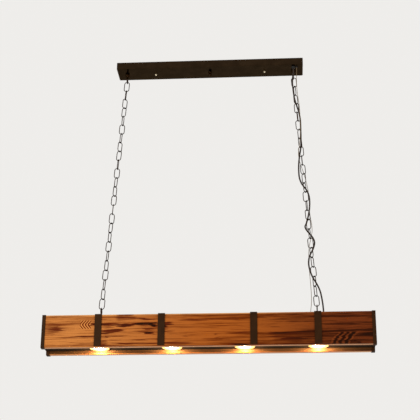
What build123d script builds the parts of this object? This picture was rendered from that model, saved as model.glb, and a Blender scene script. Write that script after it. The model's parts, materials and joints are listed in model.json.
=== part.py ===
from build123d import *
from math import asin, atan2, cos, degrees, pi, radians, sin, sqrt, tan
import os

# Rectangular wooden chandelier: a hollow beam of three boards hangs on two chains from a long ceiling canopy.
# Millimetres. The origin is on the ceiling, over the middle of the beam, with X along the beam and +Z up.

# Beam boards
beam_length = 1200.0
plank_height = 120.0
plank_thickness = 20.0
top_board_thickness = 20.0
trough_width = 80.0
plank_edge_cut = 2.0

# Steel end caps, over the ends of both planks and the top board
cap_sheet = 1.5
cap_return = 11.5
cap_corner_cut = 1.0

# Steel straps over the beam, open at the bottom
strap_width = 25.0
strap_sheet = 3.0
outer_strap_inset = 205.0
inner_strap_x = 166.0
strap_bend_round = 5.0
strap_end_rise = 2.5

# Canopy pan and what fixes it to the ceiling
canopy_length = 735.0
canopy_depth = 95.0
canopy_height = 28.0
canopy_sheet = 1.2
canopy_corner_round = 4.0
canopy_edge_cut = 1.5
bracket_end_gap = 67.5
bracket_width = 30.0
bracket_sheet = 2.5
bracket_corner_cut = 3.0
box_slot_spacing = 88.9
box_slot_width = 5.2
box_slot_length = 14.0
anchor_inset = 187.5
anchor_hole_radius = 2.75
stud_radius = 2.5
stud_inset = 151.5
stud_reach = 6.5
cap_nut_flats = 8.0
cap_nut_base = 4.0
cap_nut_dome = 4.2
finial_radius = 7.5
finial_height = 15.0

# Screwed loops, two in the canopy and two on the beam
canopy_loop_inset = 37.5
body_sides = 12
hole_sides = 8
loop_wire = 4.0
loop_radius = 12.0
loop_corners = 12
loop_sides = 6
loop_neck = 5.0
loop_neck_radius = 3.5
loop_collar_height = 10.0
loop_collar_radius = 8.0
loop_collar_shoulder = 7.0
loop_shank_radius = 4.0
loop_shank_over = 2.5
loop_nut_flats = 13.0
loop_nut_height = 5.0
plate_length = 60.0
plate_width = 36.0
plate_sheet = 2.5

# Chains
link_count = 25
link_pitch = 37.6
link_width = 22.0
link_wire = 3.0
link_sides = 6
link_end_corners = 4
upper_turn = 110.0
lower_turn = 120.0
evenly_hung_links = 18

# Supply cord and ground wire, woven down the right chain
cord_diameter = 6.0
cord_sides = 6
cord_entry_y = -28.0
cord_gland_offset = 23.0
cord_entry_run = 16.0
cord_entry_drop = 52.0
ground_diameter = 2.0
ground_sides = 5
ground_entry_offset = 13.0
ground_entry_y = -26.0
ground_gland_offset = 24.0
ground_entry_run = 14.0
ground_entry_drop = 48.0
gland_height = 9.0
gland_radius = 7.5
gland_shank_radius = 5.0
bushing_height = 4.0
bushing_radius = 4.0
bushing_shank_radius = 2.5
beam_bushing_reach = 10.0
snap_lip = 0.6
snap_lip_height = 2.5
corner_share = 0.45

# Each row is links down the chain, degrees round it from +X, and millimetres out from its middle.
# Between two rows on opposite sides the cord goes through the link that lies between them.
cord_weave = [
    (1.2, 246, 17.0),
    (2.3, 252, 17.5),
    (3.7, 48, 17.5),
    (5.5, 64, 18.0),
    (7.3, 82, 17.5),
    (8.7, 238, 17.5),
    (10.0, 200, 18.5),
    (11.3, 162, 17.5),
    (12.7, 318, 17.5),
    (14.3, 312, 17.5),
    (15.7, 108, 17.5),
    (16.3, 172, 18.5),
    (17.7, 330, 18.5),
    (18.3, 42, 18.5),
    (19.7, 198, 17.5),
    (21.3, 222, 17.5),
    (22.7, 18, 17.5),
]
ground_weave = [
    (1.3, 300, 15.0),
    (3.0, 318, 15.5),
    (5.0, 300, 15.5),
    (7.0, 268, 15.0),
    (8.6, 205, 17.5),
    (10.4, 75, 16.0),
    (12.6, 30, 16.5),
    (14.6, 60, 15.5),
    (16.4, 30, 16.0),
    (17.4, 76, 16.5),
    (18.4, 120, 17.0),
    (20.4, 160, 15.5),
    (22.6, 170, 15.0),
]

# Lamp tray and its spots
tray_sheet = 1.5
tray_rise = 13.0
tray_flange = 14.0
tray_screw_spacing = 264.0
spot_count = 4
spot_spacing = 264.0
ring_side_gap = 2.0
ring_flange = 2.5
ring_bevel = 1.0
ring_lip = 2.0
ring_dish = 2.0
spot_sides = 24
ring_wall = 3.6
ring_neck_height = 12.0
lamp_radius = 25.0
lamp_rim = 6.0
lamp_cone_height = 38.0
lamp_base_radius = 12.5
lamp_height = 50.0
lamp_sides = 16
lens_radius = 21.5
lens_thickness = 2.5
lens_crown = 0.8
lens_recess = 2.0
pin_radius = 1.5
pin_neck = 2.6
pin_head_radius = 2.5
pin_head = 1.8
pin_spacing = 10.0
unlock_turn = 20.0
holder_radius = 15.0
holder_height = 17.0
holder_face = 2.0
holder_pocket = 6.0
holder_sides = 12
keyhole_sides = 6
hanger_width = 18.0
hanger_span = 33.0
hanger_foot = 10.0
hanger_sheet = 1.5

# Terminals, leads and screws
terminal_length = 22.0
terminal_width = 30.0
terminal_height = 14.0
ceiling_terminal_inset = 39.0
ground_screw_inset = 14.0
beam_terminal_offset = 66.0
lead_diameter = 3.0
lead_sides = 4
lead_depth = 4.0
lead_wall_gap = 5.0
lead_pitch = 4.0
screw_head_radius = 3.6
screw_head = 2.2
screw_head_taper = 22.0
screw_head_sides = 8
screw_shank_radius = 1.7
screw_shank_sides = 4
strap_screw_length = 18.0
cap_screw_length = 16.0
tray_screw_length = 14.0

# Clearances
play = 0.3
hole_clearance = 0.2
lens_clearance = 0.1
thread_clearance = 0.05

# Places that follow from the sizes
bracket_length = canopy_length - 2 * bracket_end_gap
canopy_loop_x = canopy_length / 2 - canopy_loop_inset
stud_x = canopy_length / 2 - stud_inset
anchor_x = canopy_length / 2 - anchor_inset
outer_strap_x = beam_length / 2 - outer_strap_inset
cord_entry_x = canopy_loop_x
ground_entry_x = canopy_loop_x + ground_entry_offset
cord_gland_x = outer_strap_x + cord_gland_offset
ground_gland_x = outer_strap_x - ground_gland_offset
ceiling_terminal_x = bracket_length / 2 - ceiling_terminal_inset
ground_screw_x = bracket_length / 2 - ground_screw_inset
beam_terminal_x = outer_strap_x + beam_terminal_offset
beam_depth = trough_width + 2 * plank_thickness
wood_half_length = beam_length / 2 - cap_sheet
plank_middle_y = (trough_width + plank_thickness) / 2
canopy_underside = -canopy_height
canopy_floor = canopy_underside + canopy_sheet
seat_offset = (loop_wire + link_wire) / 2 + play
link_half = (link_pitch + link_wire + play) / 2
link_bend = (link_width - link_wire) / 2
loop_reach = loop_collar_height + loop_neck + 2 * loop_radius
chain_top_z = canopy_underside - loop_reach + seat_offset
chain_span = link_count * link_pitch + link_wire + play
chain_angle = asin((outer_strap_x - canopy_loop_x) / chain_span)
chain_bottom_z = chain_top_z - chain_span * cos(chain_angle)
strap_top = chain_bottom_z + seat_offset - loop_reach
wood_top = strap_top - strap_sheet
wood_bottom = wood_top - plank_height
board_bottom = wood_top - top_board_thickness
tray_bottom = wood_bottom + tray_rise
tray_top = tray_bottom + tray_sheet
ring_face = tray_bottom - ring_flange
ring_bore = lamp_radius + play
ring_flange_radius = trough_width / 2 - ring_side_gap
lamp_face = ring_face + lens_recess
lamp_top = lamp_face + lamp_height
holder_bottom = lamp_top + play
holder_top = holder_bottom + holder_height
spot_xs = [(i - (spot_count - 1) / 2) * spot_spacing for i in range(spot_count)]
outer_lead_y = trough_width / 2 - lead_wall_gap
inner_lead_y = outer_lead_y - lead_pitch
lead_rows = [outer_lead_y, -inner_lead_y, inner_lead_y, -outer_lead_y]

pieces = {}


# Shared shapes

def keep(name, *solids):
    """Files one sub-part, a single solid or several like ones as a group."""
    pieces[name] = solids[0] if len(solids) == 1 else Compound(children=list(solids))


def block(x0, x1, y0, y1, z0, z1):
    """A box between two corners."""
    return Pos((x0 + x1) / 2, (y0 + y1) / 2, (z0 + z1) / 2) * Box(x1 - x0, y1 - y0, z1 - z0)


def rod(x, y, z0, z1, radius):
    """An upright round rod."""
    return Pos(x, y, (z0 + z1) / 2) * Cylinder(radius, z1 - z0)


def prism(z0, z1, radius, sides):
    """An upright flat-sided rod on the Z axis, its corners at the radius."""
    return Pos(0, 0, z0) * extrude(RegularPolygon(radius, sides), z1 - z0)


def hole(z0, z1, radius, sides=hole_sides):
    """A flat-sided upright hole that clears a rod of the radius."""
    return Pos(0, 0, z0) * extrude(RegularPolygon(radius, sides, major_radius=False), z1 - z0)


def turned(sides, *profile):
    """A flat-sided turned solid on the Z axis, from (radius, height) corners that run along Z either way."""
    stages = []
    for first, last in zip(profile, profile[1:]):
        if first[1] != last[1]:
            (wide, wide_z), (narrow, narrow_z) = sorted((first, last), reverse=True)
            slope = degrees(atan2((wide - narrow) * cos(pi / sides), abs(narrow_z - wide_z)))
            facing = Rot(0 if narrow_z > wide_z else 180, 0, 0)
            stage = extrude(RegularPolygon(wide, sides), abs(narrow_z - wide_z), taper=slope)
            stages.append(Pos(0, 0, wide_z) * facing * stage)
    return stages[0] + stages[1:]


def hex_nut(x, z0, z1):
    """A hexagon nut on a loop's shank."""
    nut = prism(z0, z1, loop_nut_flats / sqrt(3), 6)
    return Pos(x, 0, 0) * (nut - hole(z0, z1, loop_shank_radius + thread_clearance))


def wire_ring(corners, diameter, sides):
    """A closed ring of flat-sided wire; the first corner lies inside a straight run."""
    path = Wire(Polyline(*corners, close=True).edges())
    start = Plane(origin=path @ 0, z_dir=path % 0)
    return sweep(start * RegularPolygon(diameter / 2, sides), path=path, transition=Transition.RIGHT)


def screw(length):
    """A small round-head screw pointing down, the underside of its head at z = 0."""
    head = extrude(RegularPolygon(screw_head_radius, screw_head_sides), screw_head, taper=screw_head_taper)
    return head + prism(-length, 0, screw_shank_radius, screw_shank_sides)


def screw_hole(depth):
    """The hole for a screw's shank, down from z = 0."""
    return prism(-depth, 0, screw_shank_radius + hole_clearance, screw_shank_sides)


# Ceiling bracket, canopy pan and their fasteners

def ceiling_bracket():
    """A flat bar on the ceiling, slotted for an outlet box and drilled for two anchors."""
    outline = chamfer(Rectangle(bracket_length, bracket_width).vertices(), bracket_corner_cut)
    bar = extrude(outline, -bracket_sheet)
    for side in (-1, 1):
        slot = extrude(SlotOverall(box_slot_length, box_slot_width), -bracket_sheet)
        bar -= Pos(side * box_slot_spacing / 2, 0, 0) * slot
        bar -= rod(side * anchor_x, 0, -bracket_sheet, 0, anchor_hole_radius)
    return bar - Pos(ground_screw_x, 0, 0) * screw_hole(bracket_sheet)


def canopy_pan():
    """The drawn steel pan, open towards the ceiling, with its holes."""
    pan = extrude(RectangleRounded(canopy_length, canopy_depth, canopy_corner_round), -canopy_height)
    pan = chamfer(pan.faces().sort_by(Axis.Z)[0].edges(), canopy_edge_cut)
    hollow = RectangleRounded(
        canopy_length - 2 * canopy_sheet,
        canopy_depth - 2 * canopy_sheet,
        canopy_corner_round - canopy_sheet,
    )
    pan -= extrude(hollow, canopy_floor)
    holes = [(x, 0, stud_radius) for x in (-stud_x, 0, stud_x)]
    holes += [(side * canopy_loop_x, 0, loop_shank_radius) for side in (-1, 1)]
    holes += [(cord_entry_x, cord_entry_y, gland_shank_radius)]
    holes += [(ground_entry_x, ground_entry_y, bushing_shank_radius)]
    for x, y, radius in holes:
        pan -= Pos(x, y, 0) * hole(canopy_underside, canopy_floor, radius + hole_clearance)
    return pan


def cap_nut(x):
    """A domed nut under the canopy, blind over the end of its stud."""
    base = canopy_underside - cap_nut_base
    edge = cap_nut_flats / 2
    crown = turned(
        body_sides,
        (edge, base),
        (edge * 0.9, base - cap_nut_dome * 0.45),
        (edge * 0.6, base - cap_nut_dome * 0.85),
        (edge * 0.2, base - cap_nut_dome),
    )
    nut = prism(base, canopy_underside, cap_nut_flats / sqrt(3), 6) + crown
    nut -= hole(canopy_underside - stud_reach - play, canopy_underside, stud_radius + thread_clearance)
    return Pos(x, 0, 0) * nut


def centre_finial():
    """The turned knob on the middle stud."""
    top = canopy_underside
    low = top - finial_height
    knob = turned(
        body_sides,
        (finial_radius, top),
        (finial_radius, top - finial_height * 0.15),
        (finial_radius * 0.55, top - finial_height * 0.3),
        (finial_radius * 0.55, top - finial_height * 0.45),
        (finial_radius * 0.8, top - finial_height * 0.6),
        (finial_radius * 0.8, low + finial_height * 0.15),
        (finial_radius * 0.4, low),
    )
    return knob - hole(top - stud_reach - play, top, stud_radius + thread_clearance)


def screwed_loop(x, foot, up, reach):
    """A chain loop: shank, collar, neck and a ring across the beam. up is +1 with the ring on top."""
    shoulder = foot + up * loop_collar_shoulder
    collar_end = foot + up * loop_collar_height
    neck_end = collar_end + up * loop_neck
    body = turned(
        body_sides,
        (loop_shank_radius, foot - up * reach),
        (loop_shank_radius, foot),
        (loop_collar_radius, foot),
        (loop_collar_radius, shoulder),
        (loop_neck_radius, collar_end),
        (loop_neck_radius, neck_end),
    )
    step = 2 * pi / loop_corners
    corner = loop_radius / cos(step / 2)
    angles = [(i + 0.5) * step for i in range(loop_corners)]
    ring = wire_ring(
        [(0, loop_radius, 0)] + [(0, corner * cos(a), corner * sin(a)) for a in angles], loop_wire, loop_sides
    )
    return Pos(x, 0, 0) * (body + Pos(0, 0, neck_end + up * loop_radius) * ring)


def loop_plate(x):
    """The stiffening plate on the canopy's floor, under a loop's nut."""
    plate = block(
        -plate_length / 2,
        plate_length / 2,
        -plate_width / 2,
        plate_width / 2,
        canopy_floor,
        canopy_floor + plate_sheet,
    )
    plate -= hole(canopy_floor, canopy_floor + plate_sheet, loop_shank_radius + hole_clearance)
    return Pos(x, 0, 0) * plate


# Chains

def chain_link():
    """One oval link of flat-sided wire, upright in the XZ plane."""
    straight = link_half - link_bend
    step = pi / link_end_corners
    corner = link_bend / cos(step / 2)
    corners = [(link_bend, 0, 0)]
    for end in (1, -1):
        for i in range(link_end_corners):
            angle = (i + 0.5) * step
            corners.append((end * corner * cos(angle), 0, end * (straight + corner * sin(angle))))
    return wire_ring(corners, link_wire, link_sides)


def link_turn(number):
    """How far a link has turned round its chain, which twists a little on the way down."""
    even = min(number, evenly_hung_links)
    return even * upper_turn + (number - even) * lower_turn


def on_chain(side, station):
    """The place on a chain at a station counted in links; side is -1 left, +1 right."""
    along = link_half + station * link_pitch
    x = side * (canopy_loop_x + along * sin(chain_angle))
    z = chain_top_z - along * cos(chain_angle)
    return Pos(x, 0, z) * Rot(0, -side * degrees(chain_angle), 0)


def placed_links(side):
    """Every link of one chain, from the canopy down."""
    link = chain_link()
    return [on_chain(side, i) * Rot(0, 0, link_turn(i)) * link for i in range(link_count)]


# Cords

def beside_chain(station, around, out):
    """A point beside the right chain."""
    place = on_chain(1, station) * Pos(out * cos(radians(around)), out * sin(radians(around)), 0)
    return place.position


def corner_radii(points):
    """The largest even bend at each inner point of a route."""
    radii = []
    for before, corner, after in zip(points, points[1:], points[2:]):
        arriving = corner - before
        leaving = after - corner
        half_turn = radians(arriving.get_angle(leaving)) / 2
        radii.append(corner_share * min(arriving.length, leaving.length) / tan(half_turn))
    return radii


def tube(points, radii, diameter, sides):
    """A flat-sided tube of straight runs joined by tangent arcs."""
    path = FilletPolyline(*points, radius=radii)
    start = Plane(origin=path @ 0, z_dir=path % 0)
    return sweep(start * RegularPolygon(diameter / 2, sides), path=path)


def simple_tube(points, diameter, sides):
    """A tube along a whole route."""
    corners = [Vector(*p) for p in points]
    return tube(corners, corner_radii(corners), diameter, sides)


def cut_tube(points, cuts, diameter, sides):
    """A tube cut in three at the middle of two runs, so that its pieces meet face to face."""
    radii = corner_radii(points)
    middles = [(points[cut] + points[cut + 1]) / 2 for cut in cuts]
    first, last = cuts
    stretches = [
        (points[: first + 1] + middles[:1], radii[:first]),
        (middles[:1] + points[first + 1 : last + 1] + middles[1:], radii[first:last]),
        (middles[1:] + points[last + 1 :], radii[last:]),
    ]
    tubes = [tube(route, bends, diameter, sides) for route, bends in stretches]
    section = RegularPolygon(diameter / 2, sides).area
    length = sum(t.volume for t in tubes) / section
    print("cord", diameter, "length", round(length), "tightest radii", [round(r) for r in sorted(radii)[:6]])
    return tubes


def gland(x, y, mouth, seat, sheet, radius, shank_radius, bore_radius, up):
    """A snap-in bushing round a cord: its head on one side of a wall, its lip on the other."""
    back = seat - up * sheet
    lip_end = back - up * snap_lip_height
    body = turned(
        body_sides,
        (radius * 0.75, mouth),
        (radius, mouth + (seat - mouth) * 0.5),
        (radius, seat),
        (shank_radius, seat),
        (shank_radius, back),
        (shank_radius + snap_lip, back),
        (shank_radius, lip_end),
    )
    return Pos(x, y, 0) * (body - hole(mouth, lip_end, bore_radius))


def terminal(x, z1):
    """A terminal block under a flat surface at z1, with its screw wells."""
    body = block(
        -terminal_length / 2,
        terminal_length / 2,
        -terminal_width / 2,
        terminal_width / 2,
        z1 - terminal_height,
        z1,
    )
    for row in (-1, 0, 1):
        for side in (-1, 1):
            well = prism(0, terminal_height / 3, terminal_width / 10, screw_shank_sides)
            body -= Pos(side * terminal_length / 4, row * terminal_width * 0.3, z1 - terminal_height) * well
    return Pos(x, 0, 0) * body


# Beam

def front_plank():
    """The plank towards the room, its open edges eased."""
    plank = block(
        -wood_half_length, wood_half_length, -beam_depth / 2, -trough_width / 2, wood_bottom, wood_top
    )
    along = plank.edges().filter_by(Axis.X)
    low = along.group_by(Axis.Z)[0]
    top_outer = along.group_by(Axis.Z)[-1].sort_by(Axis.Y)[0]
    plank = chamfer([*low, top_outer], plank_edge_cut)
    for x, length in top_screws():
        plank -= Pos(x, -plank_middle_y, wood_top) * screw_hole(length)
    for x in tray_screw_xs():
        plank -= Pos(x, -trough_width / 2, tray_screw_z()) * Rot(-90, 0, 0) * screw_hole(tray_screw_length)
    return plank


def top_screws():
    """Where screws go down into the planks, with their depth there."""
    straps = (-outer_strap_x, -inner_strap_x, inner_strap_x, outer_strap_x)
    caps = (-cap_screw_x(), cap_screw_x())
    return [(x, strap_screw_length) for x in straps] + [(x, cap_screw_length) for x in caps]


def cap_screw_x():
    """The middle of an end cap's top return."""
    return wood_half_length - cap_return / 2


def tray_screw_xs():
    """The places of the tray's side screws."""
    return [-tray_screw_spacing, 0, tray_screw_spacing]


def tray_screw_z():
    """The height of the tray's side screws."""
    return tray_top + (tray_flange - tray_sheet) * 0.6


def top_board():
    """The board between the planks, drilled for the loops, the cord and the ground wire."""
    board = block(
        -wood_half_length, wood_half_length, -trough_width / 2, trough_width / 2, board_bottom, wood_top
    )
    for side in (-1, 1):
        shank_hole = hole(board_bottom, wood_top, loop_shank_radius + hole_clearance)
        board -= Pos(side * outer_strap_x, 0, 0) * shank_hole
    for x, radius in ((cord_gland_x, gland_shank_radius), (ground_gland_x, bushing_shank_radius)):
        board -= Pos(x, 0, 0) * hole(board_bottom, wood_top, radius + snap_lip + hole_clearance)
    return board


def end_cap(side):
    """A steel cap over one end of the beam, wrapped round both planks and open across the trough."""
    outer_x = beam_length / 2
    inner_x = wood_half_length - cap_return
    half = beam_depth / 2
    plank_face = trough_width / 2
    mouth = plank_face - cap_sheet
    mouth_top = tray_bottom - play
    cap = block(
        inner_x, outer_x, -half - cap_sheet, half + cap_sheet, wood_bottom - cap_sheet, wood_top + cap_sheet
    )
    cap = chamfer(cap.edges().filter_by(Axis.X), cap_corner_cut)
    cap -= block(inner_x, wood_half_length, -half, half, mouth_top, wood_top)
    for near, far in ((-half, -plank_face), (plank_face, half)):
        cap -= block(inner_x, wood_half_length, near, far, wood_bottom, mouth_top)
    cap -= block(inner_x, outer_x, -mouth, mouth, wood_bottom - cap_sheet, mouth_top)
    for y in (-plank_middle_y, plank_middle_y):
        cap -= Pos(cap_screw_x(), y, wood_top + cap_sheet) * screw_hole(cap_sheet)
    return cap if side > 0 else mirror(cap, Plane.YZ)


def strap(x, has_loop):
    """A steel strip bent over the beam, with legs that stop short of the planks' lower edges."""
    half = beam_depth / 2
    low = wood_bottom + strap_end_rise
    across = strap_width / 2
    body = block(-across, across, -half - strap_sheet, half + strap_sheet, low, strap_top)
    top_edges = body.edges().filter_by(Axis.X).group_by(Axis.Z)[-1]
    body = fillet(top_edges, strap_bend_round)
    hollow = block(-across, across, -half, half, low, wood_top)
    top_edges = hollow.edges().filter_by(Axis.X).group_by(Axis.Z)[-1]
    body -= chamfer(top_edges, plank_edge_cut)
    for y in (-plank_middle_y, plank_middle_y):
        body -= Pos(0, y, strap_top) * screw_hole(strap_sheet)
    if has_loop:
        body -= hole(wood_top, strap_top, loop_shank_radius + hole_clearance)
    return Pos(x, 0, 0) * body


# Tray, spots and lamps

def lamp_tray():
    """The dark sheet channel between the planks, holed for the spots."""
    half_length = wood_half_length - play
    half = trough_width / 2
    tray = block(-half_length, half_length, -half, half, tray_bottom, tray_bottom + tray_flange)
    tray -= block(
        -half_length, half_length, -half + tray_sheet, half - tray_sheet, tray_top, tray_bottom + tray_flange
    )
    for x in spot_xs:
        tray -= Pos(x, 0, 0) * hole(tray_bottom, tray_top, ring_bore + ring_wall + hole_clearance, spot_sides)
    for x in tray_screw_xs():
        for side in (-1, 1):
            place = Pos(x, side * (half - tray_sheet), tray_screw_z()) * Rot(side * 90, 0, 0)
            tray -= place * screw_hole(tray_sheet)
    return tray


def tray_screw(x, side):
    """A screw through the tray's flange into a plank."""
    inner_face = trough_width / 2 - tray_sheet
    return Pos(x, side * inner_face, tray_screw_z()) * Rot(side * 90, 0, 0) * screw(tray_screw_length)


def spot_ring():
    """The trim ring of a spot: a dished flange under the tray and a neck through it."""
    neck = ring_bore + ring_wall
    neck_top = tray_bottom + ring_neck_height
    body = turned(
        spot_sides,
        (ring_flange_radius - ring_bevel, ring_face),
        (ring_flange_radius, ring_face + ring_bevel),
        (ring_flange_radius, tray_bottom),
        (neck, tray_bottom),
        (neck, neck_top),
    )
    dish = turned(
        spot_sides,
        (ring_flange_radius - ring_bevel - ring_lip, ring_face),
        (ring_bore, ring_face + ring_dish),
    )
    return body - dish - hole(ring_face, neck_top, ring_bore, spot_sides)


def lamp():
    """A twist-lock spot lamp, its two headed pins up."""
    pin_end = lamp_top + pin_neck + pin_head
    body = turned(
        lamp_sides,
        (lamp_radius, lamp_face),
        (lamp_radius, lamp_face + lamp_rim),
        (lamp_base_radius, lamp_face + lamp_cone_height),
        (lamp_base_radius, lamp_top),
    )
    body -= prism(lamp_face, lamp_face + lens_thickness, lens_radius + lens_clearance, lamp_sides)
    for side in (-1, 1):
        neck = prism(lamp_top, lamp_top + pin_neck, pin_radius, hole_sides)
        head = prism(lamp_top + pin_neck, pin_end, pin_head_radius, hole_sides)
        body += Pos(side * pin_spacing / 2, 0, 0) * (neck + head)
    return body


def lens():
    """The frosted lens in the lamp's face, slightly crowned."""
    return turned(
        lamp_sides,
        (lens_radius * 0.65, lamp_face),
        (lens_radius, lamp_face + lens_crown),
        (lens_radius, lamp_face + lens_thickness),
    )


def lamp_holder():
    """The ceramic holder: a keyhole slot in its face for each pin, and a pocket behind them."""
    neck_room = pin_radius + play
    head_room = pin_head_radius + play
    body = prism(holder_bottom, holder_top, holder_radius, holder_sides)
    pocket = hole(holder_face, holder_pocket, pin_spacing / 2 + head_room, holder_sides)
    for start in (0, 180):
        entry = Pos(pin_spacing / 2, 0, 0) * hole(0, holder_face, head_room, keyhole_sides)
        stop = Pos(pin_spacing / 2, 0, 0) * hole(0, holder_face, neck_room, keyhole_sides)
        pocket += Rot(0, 0, start - unlock_turn) * entry + Rot(0, 0, start) * stop
    return body - Pos(0, 0, holder_bottom) * pocket


def holder_hanger():
    """The folded strip that holds a lamp holder below the top board."""
    half = hanger_span / 2
    inner = half - hanger_sheet
    foot = half + hanger_foot
    strip = [
        (-foot, board_bottom),
        (-inner, board_bottom),
        (-inner, holder_top + hanger_sheet),
        (inner, holder_top + hanger_sheet),
        (inner, board_bottom),
        (foot, board_bottom),
        (foot, board_bottom - hanger_sheet),
        (half, board_bottom - hanger_sheet),
        (half, holder_top),
        (-half, holder_top),
        (-half, board_bottom - hanger_sheet),
        (-foot, board_bottom - hanger_sheet),
    ]
    profile = make_face(Polyline(*[(0, y, z) for y, z in strip], close=True))
    return extrude(profile, hanger_width / 2, dir=(1, 0, 0), both=True)


def lamp_lead(spot_x, row):
    """A lead from the beam's terminal along the top board and down to one lamp holder."""
    terminal_face = beam_terminal_x - terminal_length / 2
    start_y = row * 0.3
    z = board_bottom - lead_depth
    drop_x = spot_x + (hanger_width / 2 + holder_radius) / 2
    return simple_tube(
        [
            (terminal_face, start_y, z),
            (terminal_face - 12, start_y, z),
            (terminal_face - 30, row, z),
            (drop_x + 22, row, z),
            (drop_x, 0, z - lead_diameter / 2),
            (drop_x, 0, holder_top),
        ],
        lead_diameter,
        lead_sides,
    )


# The canopy and what hangs in it

keep("ceiling_bracket", ceiling_bracket())
keep(
    "canopy_studs",
    *[
        Pos(x, 0, 0) * prism(canopy_underside - stud_reach, -bracket_sheet, stud_radius, hole_sides)
        for x in (-stud_x, 0, stud_x)
    ],
)
keep("canopy_pan", canopy_pan())
keep("cap_nuts", cap_nut(-stud_x), cap_nut(stud_x))
keep("centre_finial", centre_finial())
keep("loop_plates", loop_plate(-canopy_loop_x), loop_plate(canopy_loop_x))
canopy_nut_z = canopy_floor + plate_sheet
canopy_shank = canopy_sheet + plate_sheet + loop_nut_height + loop_shank_over
for side, name in ((-1, "left"), (1, "right")):
    keep(f"canopy_loop_{name}", screwed_loop(side * canopy_loop_x, canopy_underside, -1, canopy_shank))
keep(
    "canopy_loop_nuts",
    *[hex_nut(side * canopy_loop_x, canopy_nut_z, canopy_nut_z + loop_nut_height) for side in (-1, 1)],
)
cord_bore = cord_diameter / 2 + hole_clearance
ground_bore = ground_diameter / 2 + hole_clearance
cord_mouth = canopy_underside - gland_height
ground_mouth = canopy_underside - bushing_height
keep(
    "canopy_bushings",
    gland(cord_entry_x, cord_entry_y, cord_mouth, canopy_underside, canopy_sheet,
          gland_radius, gland_shank_radius, cord_bore, -1),
    gland(ground_entry_x, ground_entry_y, ground_mouth, canopy_underside, canopy_sheet,
          bushing_radius, bushing_shank_radius, ground_bore, -1),
)
keep("ceiling_terminal", terminal(ceiling_terminal_x, -bracket_sheet))
keep("ground_screw", Pos(ground_screw_x, 0, -bracket_sheet) * Rot(180, 0, 0) * screw(bracket_sheet))
terminal_face = ceiling_terminal_x + terminal_length / 2
lead_z = -bracket_sheet - terminal_height / 2
ground_end_z = -bracket_sheet - screw_head - ground_diameter / 2
keep(
    "canopy_leads",
    simple_tube(
        [
            (cord_entry_x, cord_entry_y, cord_mouth),
            (cord_entry_x, cord_entry_y, lead_z),
            (cord_entry_x - 26, cord_entry_y * 0.5, lead_z),
            (terminal_face + 12, cord_entry_y * 0.4, lead_z),
            (terminal_face, cord_entry_y * 0.4, lead_z),
        ],
        cord_diameter,
        cord_sides,
    ),
    simple_tube(
        [
            (ground_entry_x, ground_entry_y, ground_mouth),
            (ground_entry_x, ground_entry_y, lead_z),
            (ground_entry_x - 30, ground_entry_y * 0.3, ground_end_z),
            (ground_screw_x, 0, ground_end_z),
        ],
        ground_diameter,
        ground_sides,
    ),
)

# Chains
for side, name in ((-1, "left"), (1, "right")):
    links = placed_links(side)
    keep(f"{name}_top_link", links[0])
    keep(f"{name}_chain", *links[1:-1])
    keep(f"{name}_bottom_link", links[-1])

# Cord and ground wire from the canopy's bushings, down the right chain, to the beam's bushings
beam_cord_mouth = wood_top + gland_height
beam_ground_mouth = wood_top + bushing_height
cord_route = [
    Vector(cord_entry_x, cord_entry_y, cord_mouth),
    Vector(cord_entry_x, cord_entry_y, cord_mouth - cord_entry_run),
    Vector(cord_entry_x - 6, cord_entry_y + 8, cord_mouth - cord_entry_drop),
    *[beside_chain(*row) for row in cord_weave],
    Vector(cord_gland_x - 3, 4, beam_cord_mouth + cord_entry_drop),
    Vector(cord_gland_x, 0, beam_cord_mouth + cord_entry_run),
    Vector(cord_gland_x, 0, beam_cord_mouth),
]
ground_route = [
    Vector(ground_entry_x, ground_entry_y, ground_mouth),
    Vector(ground_entry_x, ground_entry_y, ground_mouth - ground_entry_run),
    Vector(ground_entry_x - 2, ground_entry_y + 6, ground_mouth - ground_entry_drop),
    *[beside_chain(*row) for row in ground_weave],
    Vector(ground_gland_x + 5, -2, beam_ground_mouth + ground_entry_drop),
    Vector(ground_gland_x, 0, beam_ground_mouth + ground_entry_run),
    Vector(ground_gland_x, 0, beam_ground_mouth),
]
cord_tubes = cut_tube(cord_route, (3, 19), cord_diameter, cord_sides)
ground_tubes = cut_tube(ground_route, (3, 15), ground_diameter, ground_sides)
for name, cord_tube, ground_tube in zip(("upper_tail", "chain_run", "lower_tail"), cord_tubes, ground_tubes):
    keep(f"cord_{name}", cord_tube)
    keep(f"ground_{name}", ground_tube)

# Beam
plank = front_plank()
keep("front_plank", plank)
keep("rear_plank", mirror(plank, Plane.XZ))
keep("top_board", top_board())
keep("end_cap_left", end_cap(-1))
keep("end_cap_right", end_cap(1))
keep("outer_strap_left", strap(-outer_strap_x, True))
keep("outer_strap_right", strap(outer_strap_x, True))
keep("inner_strap_left", strap(-inner_strap_x, False))
keep("inner_strap_right", strap(inner_strap_x, False))
strap_screw = screw(strap_screw_length + strap_sheet)
keep(
    "strap_screws",
    *[
        Pos(x, y, strap_top) * strap_screw
        for x in (-outer_strap_x, -inner_strap_x, inner_strap_x, outer_strap_x)
        for y in (-plank_middle_y, plank_middle_y)
    ],
)
cap_screw = screw(cap_screw_length + cap_sheet)
keep(
    "cap_screws",
    *[
        Pos(side * cap_screw_x(), y, wood_top + cap_sheet) * cap_screw
        for side in (-1, 1)
        for y in (-plank_middle_y, plank_middle_y)
    ],
)
beam_shank = strap_sheet + top_board_thickness + loop_nut_height + loop_shank_over
for side, name in ((-1, "left"), (1, "right")):
    keep(f"beam_loop_{name}", screwed_loop(side * outer_strap_x, strap_top, 1, beam_shank))
keep(
    "beam_loop_nuts",
    *[hex_nut(side * outer_strap_x, board_bottom - loop_nut_height, board_bottom) for side in (-1, 1)],
)
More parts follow.
